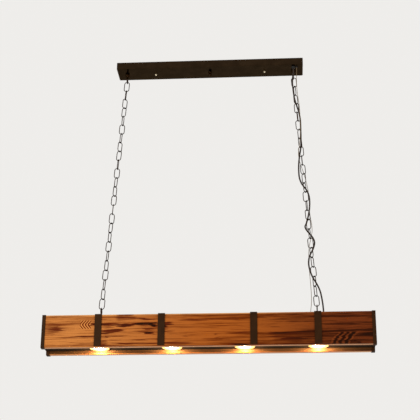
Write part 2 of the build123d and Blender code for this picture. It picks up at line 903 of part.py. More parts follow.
keep(
    "beam_bushings",
    gland(cord_gland_x, 0, beam_cord_mouth, wood_top, beam_bushing_reach,
          gland_radius, gland_shank_radius, cord_bore, 1),
    gland(ground_gland_x, 0, beam_ground_mouth, wood_top, beam_bushing_reach,
          bushing_radius, bushing_shank_radius, ground_bore, 1),
)

# Lamp tray, spots and wiring inside the beam
keep("lamp_tray", lamp_tray())
keep("tray_screws", *[tray_screw(x, side) for x in tray_screw_xs() for side in (-1, 1)])
for number, x in enumerate(spot_xs, 1):
    keep(f"spot_ring_{number}", Pos(x, 0, 0) * spot_ring())
    keep(f"lamp_{number}", Pos(x, 0, 0) * lamp())
    keep(f"lens_{number}", Pos(x, 0, 0) * lens())
keep("lamp_holders", *[Pos(x, 0, 0) * lamp_holder() for x in spot_xs])
keep("holder_hangers", *[Pos(x, 0, 0) * holder_hanger() for x in spot_xs])
keep("beam_terminal", terminal(beam_terminal_x, board_bottom))
beam_terminal_face = beam_terminal_x - terminal_length / 2
beam_lead_z = board_bottom - terminal_height * 0.6
keep(
    "beam_leads",
    simple_tube(
        [
            (cord_gland_x, 0, beam_cord_mouth),
            (cord_gland_x, 0, beam_lead_z),
            (beam_terminal_face, 0, beam_lead_z),
        ],
        cord_diameter,
        cord_sides,
    ),
    *[lamp_lead(x, row) for x, row in zip(spot_xs, lead_rows)],
)

os.makedirs("parts", exist_ok=True)
for name, shape in pieces.items():
    export_step(shape, f"parts/{name}.step")
print(len(pieces), "nodes; wood", round(wood_top, 3), round(wood_bottom, 3))
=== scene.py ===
import bmesh
import bpy
import json
from math import atan2, cos, pi, radians, sin
from mathutils import Matrix, Vector


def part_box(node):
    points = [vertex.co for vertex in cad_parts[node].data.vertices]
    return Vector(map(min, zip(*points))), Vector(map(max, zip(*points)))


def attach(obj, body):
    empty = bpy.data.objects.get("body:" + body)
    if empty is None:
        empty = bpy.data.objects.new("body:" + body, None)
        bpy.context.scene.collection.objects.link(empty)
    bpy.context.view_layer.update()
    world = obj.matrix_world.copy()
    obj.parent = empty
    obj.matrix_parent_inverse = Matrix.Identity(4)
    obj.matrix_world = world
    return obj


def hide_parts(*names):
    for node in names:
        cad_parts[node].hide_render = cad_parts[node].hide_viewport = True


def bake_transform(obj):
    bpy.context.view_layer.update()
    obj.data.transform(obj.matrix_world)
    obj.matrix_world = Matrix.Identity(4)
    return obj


# Rectangular wooden chandelier, dressed for rendering. Metres, in the frame of the CAD model.
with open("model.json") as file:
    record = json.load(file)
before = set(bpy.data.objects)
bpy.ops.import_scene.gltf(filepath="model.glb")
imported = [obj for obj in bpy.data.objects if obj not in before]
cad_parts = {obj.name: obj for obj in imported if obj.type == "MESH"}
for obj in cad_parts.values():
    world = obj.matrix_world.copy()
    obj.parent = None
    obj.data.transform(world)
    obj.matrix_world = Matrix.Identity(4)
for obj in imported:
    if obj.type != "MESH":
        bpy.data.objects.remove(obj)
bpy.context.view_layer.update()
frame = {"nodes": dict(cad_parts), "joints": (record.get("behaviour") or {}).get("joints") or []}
pivots = {joint["name"]: Vector(joint["pos_m"]) for joint in frame["joints"]}

# Camera, from the photograph's perspective
eye = Vector((0.2803, -4.0219, -2.2537))
camera_pitch = radians(22.081)
camera_yaw = radians(-3.945)
camera_roll = radians(0.345)
focal_length = 98.6
sensor_width = 36.0

# Sizes shared with the CAD model
wood_low, wood_high = (corner.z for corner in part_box("front_plank"))
canopy_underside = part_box("canopy_pan")[0].z
link_pitch = 0.0376
link_wire = 0.003
link_width = 0.022
link_count = 25
upper_turn = 110.0
lower_turn = 120.0
evenly_hung_links = 18
play = 0.0003
link_half = (link_pitch + link_wire + play) / 2
link_bend = (link_width - link_wire) / 2
strap_sheet = 0.003
cap_sheet = 0.0015
canopy_sheet = 0.0012
board_thickness = 0.010
loop_wire = 0.004
loop_radius = 0.012
loop_neck = 0.005
loop_neck_radius = 0.0035
loop_collar_height = 0.010
loop_collar_radius = 0.008
loop_shank_radius = 0.004
canopy_shank = 0.0112
beam_shank = 0.0305
cord_diameter = 0.006
ground_diameter = 0.002
lead_diameter = 0.003
cord_bushing = {"height": 0.009, "radius": 0.0075, "shank": 0.0050, "bore": 0.0032}
ground_bushing = {"height": 0.004, "radius": 0.0040, "shank": 0.0025, "bore": 0.0012}
screw_row = 0.050
strap_screw_length = 0.021
cap_screw_length = 0.0175
cap_screw_inset = 0.00575
inner_strap_x = 0.166
lens_radius = 0.0215
lens_thickness = 0.0025
lamp_rim_radius = 0.0250
lamp_base_radius = 0.0125
lamp_height = 0.050
pin_offset = 0.005
pin_radius = 0.0015
pin_head_radius = 0.0025
spot_bore_radius = 0.0253
spot_neck_radius = 0.0289
spot_flange_radius = 0.038
spot_flange = 0.0025
spot_xs = [-0.396, -0.132, 0.132, 0.396]
spot_spacing = spot_xs[1] - spot_xs[0]

# Supply cord and ground wire, the same routes as in the CAD model.
# Each weave row is links down the chain, degrees round it from +X, and metres out from its middle.
cord_entry = Vector((0.330, -0.028, canopy_underside - cord_bushing["height"]))
cord_exit = Vector((0.418, 0.0, wood_high + cord_bushing["height"]))
ground_entry = Vector((0.343, -0.026, canopy_underside - ground_bushing["height"]))
ground_exit = Vector((0.371, 0.0, wood_high + ground_bushing["height"]))
cord_weave = [
    (1.2, 246, 0.0170),
    (2.3, 252, 0.0175),
    (3.7, 48, 0.0175),
    (5.5, 64, 0.0180),
    (7.3, 82, 0.0175),
    (8.7, 238, 0.0175),
    (10.0, 200, 0.0185),
    (11.3, 162, 0.0175),
    (12.7, 318, 0.0175),
    (14.3, 312, 0.0175),
    (15.7, 108, 0.0175),
    (16.3, 172, 0.0185),
    (17.7, 330, 0.0185),
    (18.3, 42, 0.0185),
    (19.7, 198, 0.0175),
    (21.3, 222, 0.0175),
    (22.7, 18, 0.0175),
]
ground_weave = [
    (1.3, 300, 0.0150),
    (3.0, 318, 0.0155),
    (5.0, 300, 0.0155),
    (7.0, 268, 0.0150),
    (8.6, 205, 0.0175),
    (10.4, 75, 0.0160),
    (12.6, 30, 0.0165),
    (14.6, 60, 0.0155),
    (16.4, 30, 0.0160),
    (17.4, 76, 0.0165),
    (18.4, 120, 0.0170),
    (20.4, 160, 0.0155),
    (22.6, 170, 0.0150),
]

# Heights at which the cords are cut, and a pair of heights given for each stretch
upper_cut, lower_cut, last_cut = -0.082, -0.941, -0.985
top_bend = (-0.046, -0.078)
run_bend = (-0.086, -0.116)
low_bend = (-0.950, -0.983)
end_bend = (-0.988, -1.020)


# Mesh building

def add_mesh(name, parts):
    """One smooth-shaded object from several (vertices, faces) parts, sharp where faces meet steeply."""
    vertices, faces = [], []
    for part_vertices, part_faces in parts:
        start = len(vertices)
        vertices += [tuple(v) for v in part_vertices]
        faces += [tuple(start + i for i in face) for face in part_faces]
    mesh = bpy.data.meshes.new(name)
    mesh.from_pydata(vertices, [], faces)
    outward = bmesh.new()
    outward.from_mesh(mesh)
    bmesh.ops.recalc_face_normals(outward, faces=outward.faces)
    outward.to_mesh(mesh)
    outward.free()
    mesh.shade_smooth()
    mesh.set_sharp_from_angle(angle=radians(40))
    shape = bpy.data.objects.new(name, mesh)
    bpy.context.scene.collection.objects.link(shape)
    return shape


def moved(part, matrix):
    """A part's vertices moved by a matrix."""
    vertices, faces = part
    return [matrix @ Vector(v) for v in vertices], faces


def six_sided(angle):
    """A hexagon's outline, as a share of its half width across flats."""
    return 1 / cos((angle + pi / 6) % (pi / 3) - pi / 6)


def ribbed(angle):
    """The outline of a form with cooling ribs, as a share of its radius over the ribs."""
    count, depth = 24, 0.05
    return 1 - depth + depth * cos(count * angle)


def lathe(profile, sides=48):
    """A closed turned form from axis to axis. Its (radius, height) corners may have their own outline."""
    vertices, rows = [], []
    for radius, height, *outline in profile:
        if radius == 0:
            rows.append([len(vertices)] * sides)
            vertices.append((0, 0, height))
            continue
        rows.append(range(len(vertices), len(vertices) + sides))
        for i in range(sides):
            angle = 2 * pi * i / sides
            reach = radius * outline[0](angle) if outline else radius
            vertices.append((reach * cos(angle), reach * sin(angle), height))
    faces = []
    for low, high in zip(rows, rows[1:]):
        for i in range(sides):
            j = (i + 1) % sides
            corners = [low[i], low[j], high[j], high[i]]
            faces.append(list(dict.fromkeys(corners)))
    return vertices, faces


def turned_ring(profile, sides=64):
    """A ring with a closed (radius, height) section."""
    vertices, faces = [], []
    count = len(profile)
    for i in range(sides):
        angle = 2 * pi * i / sides
        vertices += [(r * cos(angle), r * sin(angle), z) for r, z in profile]
        for k in range(count):
            here, there = i * count, ((i + 1) % sides) * count
            faces.append((here + k, there + k, there + (k + 1) % count, here + (k + 1) % count))
    return vertices, faces


def wire(path, radii, sides, normal):
    """A closed round wire along points that lie in one plane with this normal."""
    vertices, faces = [], []
    count = len(path)
    for i, (point, radius) in enumerate(zip(path, radii)):
        along = (path[(i + 1) % count] - path[i - 1]).normalized()
        out = along.cross(normal)
        for k in range(sides):
            angle = 2 * pi * k / sides
            vertices.append(point + radius * (cos(angle) * normal + sin(angle) * out))
            here, there = i * sides, ((i + 1) % count) * sides
            faces.append((here + k, here + (k + 1) % sides, there + (k + 1) % sides, there + k))
    return vertices, faces


def tube(line, radius, sides=14):
    """A round tube along an open line, closed at both ends."""
    vertices, faces = [], []
    side = Vector((0, 1, 0))
    for i, point in enumerate(line):
        along = (line[min(i + 1, len(line) - 1)] - line[max(i - 1, 0)]).normalized()
        side = (side - side.dot(along) * along).normalized()
        up = along.cross(side)
        for k in range(sides):
            angle = 2 * pi * k / sides
            vertices.append(point + radius * (cos(angle) * side + sin(angle) * up))
        if i:
            here, there = (i - 1) * sides, i * sides
            for k in range(sides):
                faces.append((here + k, here + (k + 1) % sides, there + (k + 1) % sides, there + k))
    faces.append(tuple(reversed(range(sides))))
    faces.append(tuple(range((len(line) - 1) * sides, len(line) * sides)))
    return vertices, faces


def dress(shape, body, nodes, material):
    """Gives a piece its material, its body and the CAD nodes that it stands for."""
    shape.data.materials.append(material)
    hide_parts(*nodes)
    if body:
        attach(shape, body)
    return shape


def paint(material, *nodes):
    """Gives CAD nodes a material."""
    for name in nodes:
        data = frame["nodes"][name].data
        data.materials.clear()
        data.materials.append(material)


# Materials

class Graph:
    """A material's node graph, built from short calls. Values may be numbers, colours or sockets."""

    def __init__(self, name):
        self.material = bpy.data.materials.new(name)
        self.material.use_nodes = True
        self.tree = self.material.node_tree
        self.shader = self.tree.nodes["Principled BSDF"]

    def add(self, kind, inputs, **settings):
        made = self.tree.nodes.new(kind)
        for key, value in settings.items():
            setattr(made, key, value)
        for key, value in inputs.items():
            self.put(made.inputs[key], value)
        return made

    def put(self, socket, value):
        if isinstance(value, bpy.types.NodeSocket):
            self.tree.links.new(value, socket)
        else:
            socket.default_value = value

    def set(self, **inputs):
        for key, value in inputs.items():
            self.put(self.shader.inputs[key.replace("_", " ").title().replace("Ior", "IOR")], value)

    def place(self):
        return self.add("ShaderNodeTexCoord", {}).outputs["Object"]

    def parts(self, vector):
        return self.add("ShaderNodeSeparateXYZ", {0: vector}).outputs

    def math(self, operation, *values):
        return self.add("ShaderNodeMath", dict(enumerate(values)), operation=operation).outputs[0]

    def total(self, *values):
        result = values[0]
        for value in values[1:]:
            result = self.math("ADD", result, value)
        return result

    def times(self, value, factor):
        return self.math("MULTIPLY", value, factor)

    def shifted(self, vector, amount):
        return self.add("ShaderNodeVectorMath", {0: vector, 1: (amount, amount, amount)}).outputs[0]

    def scaled(self, vector, x, y, z):
        inputs = {0: vector, 1: (x, y, z)}
        return self.add("ShaderNodeVectorMath", inputs, operation="MULTIPLY").outputs[0]

    def noise(self, vector, scale, detail=4.0, roughness=0.5):
        inputs = {"Vector": vector, "Scale": scale, "Detail": detail, "Roughness": roughness}
        return self.add("ShaderNodeTexNoise", inputs).outputs[0]

    def smooth(self, value, low, high):
        inputs = {"Value": value, "From Min": low, "From Max": high}
        return self.add("ShaderNodeMapRange", inputs, interpolation_type="SMOOTHSTEP").outputs[0]

    def mix(self, factor, first, second):
        first, second = [c if isinstance(c, bpy.types.NodeSocket) else (*c, 1) for c in (first, second)]
        inputs = {0: factor, 6: first, 7: second}
        return self.add("ShaderNodeMix", inputs, data_type="RGBA", blend_type="MIX").outputs[2]

    def bump(self, height, distance, strength=1.0):
        inputs = {"Height": height, "Distance": distance, "Strength": strength}
        self.put(self.shader.inputs["Normal"], self.add("ShaderNodeBump", inputs).outputs[0])


def painted_steel(name, colour, worn, roughness):
    """Powder-coated steel: fine orange peel, faint blotches and a little wear."""
    g = Graph(name)
    place = g.place()
    blotches = g.noise(place, 22, detail=5, roughness=0.6)
    peel = g.noise(place, 900, detail=2)
    wear = g.smooth(g.noise(place, 60, detail=6, roughness=0.7), 0.62, 0.8)
    tone = g.mix(g.smooth(blotches, 0.3, 0.75), colour, [c * 1.6 for c in colour])
    g.set(base_color=g.mix(g.times(wear, 0.35), tone, worn))
    g.set(roughness=g.math("MULTIPLY_ADD", blotches, 0.25, roughness - 0.12))
    g.set(specular_ior_level=0.09, specular_tint=(1.0, 0.78, 0.55, 1))
    g.bump(peel, 0.00012, 0.5)
    return g.material


def rubbed_bronze(name, colour, worn, roughness, edge):
    """Dark oiled bronze with cloudy tarnish, brighter where it is rubbed. Edge tints its flat angles."""
    g = Graph(name)
    place = g.place()
    tarnish = g.noise(place, 30, detail=5, roughness=0.6)
    wear = g.smooth(g.noise(place, 75, detail=6, roughness=0.7), 0.60, 0.78)
    tone = g.mix(g.smooth(tarnish, 0.3, 0.75), colour, [c * 1.5 for c in colour])
    g.set(base_color=g.mix(g.times(wear, 0.30), tone, worn), metallic=1.0)
    g.set(specular_tint=(*edge, 1))
    g.set(roughness=g.math("MULTIPLY_ADD", tarnish, 0.20, roughness - 0.10))
    g.bump(g.noise(place, 800, detail=2), 0.00008, 0.4)
    return g.material


def bare_steel(name, colour, roughness):
    """Zinc-plated or drawn steel with soft directional marks."""
    g = Graph(name)
    place = g.place()
    marks = g.noise(g.scaled(place, 40, 900, 900), 1, detail=3)
    cloud = g.noise(place, 35, detail=4)
    g.set(base_color=g.mix(cloud, colour, [c * 0.7 for c in colour]))
    g.set(roughness=g.math("MULTIPLY_ADD", marks, 0.2, roughness - 0.1))
    g.set(metallic=1.0)
    g.bump(marks, 0.00006, 0.5)
    return g.material


def moulded(name, colour, roughness, grain):
    """Moulded plastic, rubber or ceramic with a fine surface."""
    g = Graph(name)
    place = g.place()
    cloud = g.noise(place, 50, detail=3)
    fine = g.noise(place, grain, detail=3, roughness=0.6)
    g.set(base_color=g.mix(cloud, colour, [c * 0.82 for c in colour]))
    g.set(roughness=g.math("MULTIPLY_ADD", fine, 0.2, roughness - 0.1), specular_ior_level=0.2)
    g.bump(fine, 0.0001, 0.4)
    return g.material


# Dark marks of the planks: middle x, height above the lower edge, half length, half height, darkness
front_marks = [
    (-0.558, 0.066, 0.026, 0.018, 0.32),
    (-0.435, 0.040, 0.026, 0.0032, 0.42),
    (-0.430, 0.013, 0.040, 0.0030, 0.30),
    (-0.417, 0.083, 0.009, 0.0060, 0.70),
    (-0.295, 0.108, 0.030, 0.013, 0.50),
    (-0.302, 0.079, 0.028, 0.0060, 1.00),
    (-0.365, 0.083, 0.026, 0.0045, 0.85),
    (-0.365, 0.072, 0.022, 0.0030, 0.60),
    (-0.338, 0.059, 0.044, 0.0048, 0.80),
    (-0.368, 0.050, 0.020, 0.0032, 0.65),
    (-0.225, 0.084, 0.040, 0.0042, 0.80),
    (-0.191, 0.079, 0.013, 0.0085, 1.00),
    (-0.212, 0.098, 0.028, 0.0030, 0.60),
    (-0.212, 0.063, 0.026, 0.0028, 0.60),
    (-0.205, 0.048, 0.013, 0.0045, 0.85),
    (-0.373, 0.013, 0.016, 0.0120, 0.40),
    (-0.290, 0.024, 0.055, 0.0032, 0.30),
    (-0.235, 0.011, 0.090, 0.0034, 0.45),
    (-0.242, 0.103, 0.026, 0.0026, 0.50),
    (-0.363, 0.036, 0.004, 0.0022, 0.80),
    (-0.150, 0.079, 0.016, 0.0105, 0.85),
    (-0.146, 0.063, 0.022, 0.0022, 0.55),
    (-0.146, 0.054, 0.022, 0.0022, 0.50),
    (-0.098, 0.012, 0.062, 0.0040, 0.38),
    (-0.035, 0.096, 0.062, 0.0042, 0.35),
    (-0.077, 0.036, 0.007, 0.0032, 0.45),
    (0.036, 0.042, 0.007, 0.0032, 0.40),
    (0.028, 0.029, 0.004, 0.0024, 0.75),
    (0.130, 0.048, 0.034, 0.0034, 0.35),
    (0.115, 0.003, 0.036, 0.0034, 0.75),
    (0.300, 0.022, 0.045, 0.0036, 0.50),
    (0.250, 0.064, 0.020, 0.0030, 0.30),
    (0.576, 0.036, 0.026, 0.0055, 0.90),
    (0.535, 0.008, 0.005, 0.0060, 0.60),
]
rear_marks = [
    (-0.470, 0.070, 0.034, 0.0060, 0.90),
    (-0.440, 0.055, 0.045, 0.0042, 0.65),
    (-0.300, 0.030, 0.050, 0.0040, 0.50),
    (-0.080, 0.090, 0.045, 0.0045, 0.60),
    (-0.050, 0.040, 0.006, 0.0040, 0.90),
    (0.210, 0.075, 0.030, 0.0090, 0.85),
    (0.230, 0.058, 0.048, 0.0035, 0.60),
    (0.420, 0.100, 0.035, 0.0120, 0.40),
    (0.500, 0.028, 0.050, 0.0045, 0.70),
]


def grain(g, place, height):
    """Long streaks, shorter ones, wavy late wood and single fibres, from 0 in pale wood to 1 in dark."""
    rings_per_metre = 190
    broad = g.smooth(g.noise(g.scaled(place, 1.8, 55, 55), 1, detail=3), 0.34, 0.66)
    streaks = g.smooth(g.noise(g.scaled(place, 7, 210, 210), 1, detail=4, roughness=0.6), 0.36, 0.66)
    fibres = g.smooth(g.noise(g.scaled(place, 24, 620, 620), 1, detail=3, roughness=0.65), 0.32, 0.68)
    bend = g.noise(g.scaled(place, 3.0, 16, 16), 1, detail=3)
    lines = g.math("FRACT", g.times(g.math("MULTIPLY_ADD", bend, 0.045, height), rings_per_metre))
    late = g.smooth(lines, 0.45, 0.95)
    dark = g.total(g.times(broad, 0.30), g.times(streaks, 0.38), g.times(fibres, 0.18), g.times(late, 0.14))
    return dark, streaks, late


def wavered(g, value, noise, reach):
    """A place moved to and fro by a noise, over a reach from end to end."""
    return g.math("MULTIPLY_ADD", g.math("SUBTRACT", noise, 0.5), reach, value)


def distance(g, across, up):
    """The length of two legs at a right angle."""
    squares = [g.math("MULTIPLY", leg, leg) for leg in (across, up)]
    return g.math("SQRT", g.math("ADD", *squares))


def blot(g, x, height, mark):
    """How far a place lies inside one dark mark."""
    mark_x, mark_z, half_x, half_z, depth = mark
    from_x = g.math("DIVIDE", g.math("SUBTRACT", x, mark_x), half_x)
    from_z = g.math("DIVIDE", g.math("SUBTRACT", height, mark_z), half_z)
    far = g.math("ADD", g.math("MULTIPLY", from_x, from_x), g.math("MULTIPLY", from_z, from_z))
    return g.times(g.smooth(far, 2.1, 0.3), depth * 1.15)


def inside(g, value, low, high, edge):
    """1 between two values, falling off softly over an edge."""
    above = g.smooth(value, low - edge, low + edge)
    below = g.smooth(value, high + edge, high - edge)
    return g.math("MULTIPLY", above, below)


def root_figure(g, x, height):
    """Nested arrowheads beside a knot that the left strap hides: dark late wood and bright wood between."""
    tip_height, pitch, slope = 0.083, 0.0102, 0.9
    roundness = 0.000008
    rise = g.math("SUBTRACT", height, tip_height)
    arm = g.math("SQRT", g.math("MULTIPLY_ADD", rise, rise, roundness))
    lines = g.math("FRACT", g.math("DIVIDE", g.math("MULTIPLY_ADD", arm, -slope, x), pitch))
    area = g.math("MULTIPLY", inside(g, x, -0.460, -0.420, 0.004), g.smooth(arm, 0.0175, 0.0135))
    dark = g.math("MULTIPLY", inside(g, lines, 0.28, 0.84, 0.10), area)
    return dark, g.math("SUBTRACT", area, dark)


def flame_figure(g, place, x, height):
    """Leaning flames of late wood under the seam at the right end, the innermost darkest, and the gaps."""
    core_x, core_height, lean, pitch = 0.545, 0.016, 0.6, 0.020
    wander = g.noise(g.scaled(place, 14, 45, 45), 1, detail=3)
    from_z = g.math("SUBTRACT", height, core_height)
    from_x = g.math("MULTIPLY_ADD", from_z, -lean, g.math("SUBTRACT", x, core_x))
    far = wavered(g, distance(g, from_x, from_z), wander, 0.026)
    lines = g.math("FRACT", g.math("DIVIDE", far, pitch))
    below_seam = g.math("MULTIPLY", inside(g, far, 0.034, 0.100, 0.005), g.smooth(height, 0.045, 0.040))
    area = g.math("MULTIPLY", below_seam, g.smooth(x, 0.552, 0.530))
    flames = g.math("MULTIPLY", inside(g, lines, 0.06, 0.58, 0.14), area)
    gaps = g.math("SUBTRACT", area, flames)
    innermost = g.smooth(far, 0.060, 0.052)
    return g.math("MULTIPLY", flames, g.math("MULTIPLY_ADD", innermost, 0.65, 0.75)), gaps


def seam(g, x, height):
    """The dark line where two strips of wood meet, from the middle to the right, and the strip below."""
    level = g.math("MULTIPLY_ADD", x, 0.016, 0.0408)
    off = g.math("ABSOLUTE", g.math("SUBTRACT", height, level))
    core = g.smooth(off, 0.0022, 0.0006)
    halo = g.times(g.smooth(off, 0.0065, 0.001), 0.55)
    line = g.math("MULTIPLY", g.math("MAXIMUM", core, halo), g.smooth(x, 0.205, 0.235))
    below = g.math("MULTIPLY", g.smooth(height, 0.047, 0.043), g.smooth(x, 0.215, 0.25))
    return line, g.times(below, 0.28)


def charred_pine(name, marks, seed, inner_side=0, figured=False):
    """Scorched and oiled pine: amber to deep red along the beam, with streaky dark marks."""
    amber, amber_dark = (0.60, 0.215, 0.050), (0.22, 0.050, 0.008)
    brown, brown_dark = (0.415, 0.105, 0.014), (0.145, 0.022, 0.001)
    red, red_dark = (0.165, 0.033, 0.007), (0.036, 0.005, 0.001)
    scorched_brown, scorched_red = (0.115, 0.014, 0.002), (0.026, 0.004, 0.001)
    burnt = (0.014, 0.003, 0.001)
    g = Graph(name)
    place = g.shifted(g.place(), seed) if seed else g.place()
    x, y, z = g.parts(g.place())
    height = g.math("SUBTRACT", z, wood_low)
    dark_share, streaks, late = grain(g, place, height)
    # Fine noise drags the marks along the grain, so that they end in flames
    drag = g.noise(g.scaled(place, 12, 230, 230), 1, detail=3, roughness=0.6)
    waver = g.noise(g.scaled(place, 16, 60, 60), 1, detail=2)
    mark_x = wavered(g, x, drag, 0.11)
    mark_z = wavered(g, height, waver, 0.007)
    scorch = g.noise(g.scaled(place, 5.5, 125, 125), 1, detail=5, roughness=0.62)
    burnt_field = g.math("MULTIPLY_ADD", inside(g, x, -0.40, -0.16, 0.03), 0.50 if figured else 0.0, 0.42)
    char = g.math("MULTIPLY", g.smooth(scorch, 0.47, 0.70), burnt_field)
    for mark in marks:
        char = g.math("ADD", char, blot(g, mark_x, mark_z, mark))
    char = g.math("MULTIPLY", char, g.math("MULTIPLY_ADD", streaks, 0.7, 0.62))
    relief = g.total(g.times(late, 0.4), g.times(dark_share, 0.6), g.times(char, -0.3))
    # Amber at the left end, brown in the middle, deep red at the right
    leftward = g.smooth(x, 0.05, -0.55)
    rightward = g.smooth(x, 0.02, 0.52)
    light = g.mix(rightward, g.mix(leftward, brown, amber), red)
    dark = g.mix(rightward, g.mix(leftward, brown_dark, amber_dark), red_dark)
    wood = g.mix(g.smooth(dark_share, 0.25, 0.78), light, dark)
    if figured:
        line, below = seam(g, x, mark_z)
        fine_x = wavered(g, x, drag, 0.026)
        fine_z = wavered(g, height, waver, 0.003)
        arrows, between = root_figure(g, x, fine_z)
        flames, gaps = flame_figure(g, place, fine_x, fine_z)
        char = g.total(g.math("MULTIPLY_ADD", gaps, -0.3, char), line, below, flames)
        wood = g.mix(g.times(between, 0.6), wood, (0.95, 0.40, 0.10))
        wood = g.mix(arrows, wood, (0.150, 0.014, 0.001))
        wood = g.mix(g.times(gaps, 0.40), wood, (0.205, 0.044, 0.009))
    # Painted highlight: a pale line along the top edge, as if the eased edge caught the light.
    painted_top_highlight = g.times(g.smooth(height, 0.1135, 0.1185), 0.75)
    wood = g.mix(painted_top_highlight, wood, g.mix(rightward, (0.92, 0.46, 0.16), light))
    wood = g.mix(g.smooth(char, 0.05, 0.70), wood, g.mix(rightward, scorched_brown, scorched_red))
    wood = g.mix(g.smooth(char, 0.70, 1.35), wood, burnt)
    # Painted shade darkens the planks' inner faces, and painted light makes the undersides paler.
    along_y, along_z = g.parts(g.add("ShaderNodeTexCoord", {}).outputs["Normal"])[1:]
    if inner_side:
        painted_trough_shade = g.times(g.smooth(g.times(along_y, inner_side), 0.6, 0.9), 0.96)
        wood = g.mix(painted_trough_shade, wood, g.mix(dark_share, (0.070, 0.030, 0.011), (0.022, 0.008, 0.003)))
    # Painted light: faces turned down are made paler, as if lit from below.
    painted_underside_light = g.times(g.smooth(along_z, -0.80, -0.95), 0.9)
    g.set(base_color=g.mix(painted_underside_light, wood, g.mix(dark_share, (0.80, 0.46, 0.27), (0.50, 0.23, 0.11))))
    g.set(roughness=g.math("MULTIPLY_ADD", dark_share, 0.22, 0.42))
    g.set(specular_ior_level=0.07, specular_tint=(1.0, 0.72, 0.45, 1))
    g.bump(relief, 0.0007, 0.6)
    return g.material


def from_spot(g):
    """The distance from the axis of the nearest spot."""
    x, y, z = g.parts(g.place())
    first_edge = spot_xs[0] - spot_spacing / 2
    share = g.math("FRACT", g.math("DIVIDE", g.math("SUBTRACT", x, first_edge), spot_spacing))
    return distance(g, g.math("MULTIPLY", g.math("SUBTRACT", share, 0.5), spot_spacing), y)


def lens_glow():
    """A frosted lens lit from behind: white in the middle, golden towards its rim."""
    g = Graph("lens_glow")
    rim = g.smooth(from_spot(g), lens_radius * 0.35, lens_radius)
    g.set(base_color=(0.95, 0.92, 0.85, 1), roughness=0.35, transmission_weight=0.15)
    g.set(emission_color=g.mix(rim, (1.0, 0.90, 0.70), (1.0, 0.66, 0.26)))
    g.set(emission_strength=g.math("MULTIPLY_ADD", rim, -4.0, 7.0))
    return g.material


def spot_trim_painted_glow():
    """Satin trim of golden metal with painted lamplight: an emission that glows gold towards its inner
    edge, standing in for the lamp beside it.
    """
    g = Graph("spot_trim_painted_glow")
    near = g.smooth(from_spot(g), spot_flange_radius * 1.02, lens_radius)
    g.set(base_color=(0.62, 0.42, 0.16, 1), metallic=0.9)
    g.set(roughness=g.math("MULTIPLY_ADD", g.noise(g.place(), 300, detail=3), 0.2, 0.25))
    # Painted light: this emission on the trim stands in for the lamp's light falling on it.
    g.set(emission_color=(1.0, 0.55, 0.14, 1))
    g.set(emission_strength=g.times(near, 2.4))
    return g.material


black_steel = painted_steel("black_steel", (0.023, 0.0085, 0.0025), (0.070, 0.034, 0.014), 0.50)
tray_black = painted_steel("tray_black", (0.012, 0.006, 0.003), (0.03, 0.018, 0.010), 0.60)
bronze = rubbed_bronze("bronze", (0.022, 0.011, 0.0045), (0.10, 0.055, 0.025), 0.34, (0.36, 0.30, 0.25))
canopy_bronze = rubbed_bronze(
    "canopy_bronze", (0.024, 0.014, 0.007), (0.050, 0.029, 0.014), 0.19, (0.76, 0.68, 0.60)
)
zinc = bare_steel("zinc", (0.55, 0.54, 0.50), 0.38)
nickel = bare_steel("nickel", (0.80, 0.70, 0.50), 0.20)
lamp_metal = bare_steel("lamp_metal", (0.70, 0.70, 0.68), 0.42)
black_plastic = moulded("black_plastic", (0.02, 0.02, 0.02), 0.50, 700)
dark_jacket = moulded("dark_jacket", (0.030, 0.020, 0.014), 0.48, 900)
ground_jacket = moulded("ground_jacket", (0.20, 0.14, 0.075), 0.42, 900)
ceramic = moulded("ceramic", (0.80, 0.78, 0.72), 0.55, 400)
front_pine = charred_pine("front_pine", front_marks, 0.0, inner_side=1, figured=True)
rear_pine = charred_pine("rear_pine", rear_marks, 3.0, inner_side=-1)
board_pine = charred_pine("board_pine", [], 7.0)


# Chains

def on_chain(side, station):
    """The place on a chain at a station counted in links; side is -1 left, +1 right."""
    top = Vector((side * pivots["swing"].x, 0, pivots["swing"].z))
    bottom = Vector((side * pivots["tilt"].x, 0, pivots["tilt"].z))
    down = (bottom - top).normalized()
    lean = Matrix.Rotation(-atan2(down.x, -down.z), 4, "Y")
    return Matrix.Translation(top + down * (link_half + station * link_pitch)) @ lean


def link_turn(number):
    """How far a link has turned round its chain, in degrees."""
    even = min(number, evenly_hung_links)
    return even * upper_turn + (number - even) * lower_turn


def chain_link():
    """One oval link of round wire, upright in the XZ plane, with its butt seam in one side."""
    straight = link_half - link_bend
    seam_half, seam_share, bend_steps = 0.0004, 0.84, 10
    path = [(link_bend, -straight), (link_bend, -seam_half), (link_bend, 0), (link_bend, seam_half)]
    for end in (1, -1):
        for i in range(bend_steps + 1):
            angle = pi * i / bend_steps
            path.append((end * link_bend * cos(angle), end * (straight + link_bend * sin(angle))))
    path = path[:-1]
    radii = [link_wire / 2] * len(path)
    radii[2] *= seam_share
    return wire([Vector((x, 0, z)) for x, z in path], radii, 12, Vector((0, 1, 0)))


def chain(side, name):
    """One chain: its top link, its run and its bottom link."""
    link = chain_link()
    placed = []
    for i in range(link_count):
        turned = Matrix.Rotation(radians(link_turn(i)), 4, "Z")
        placed.append(moved(link, on_chain(side, i) @ turned))
    for piece, links in (("top_link", placed[:1]), ("chain", placed[1:-1]), ("bottom_link", placed[-1:])):
        node = f"{name}_{piece}"
        dress(add_mesh(f"{node}_round", links), node, [node], bronze)


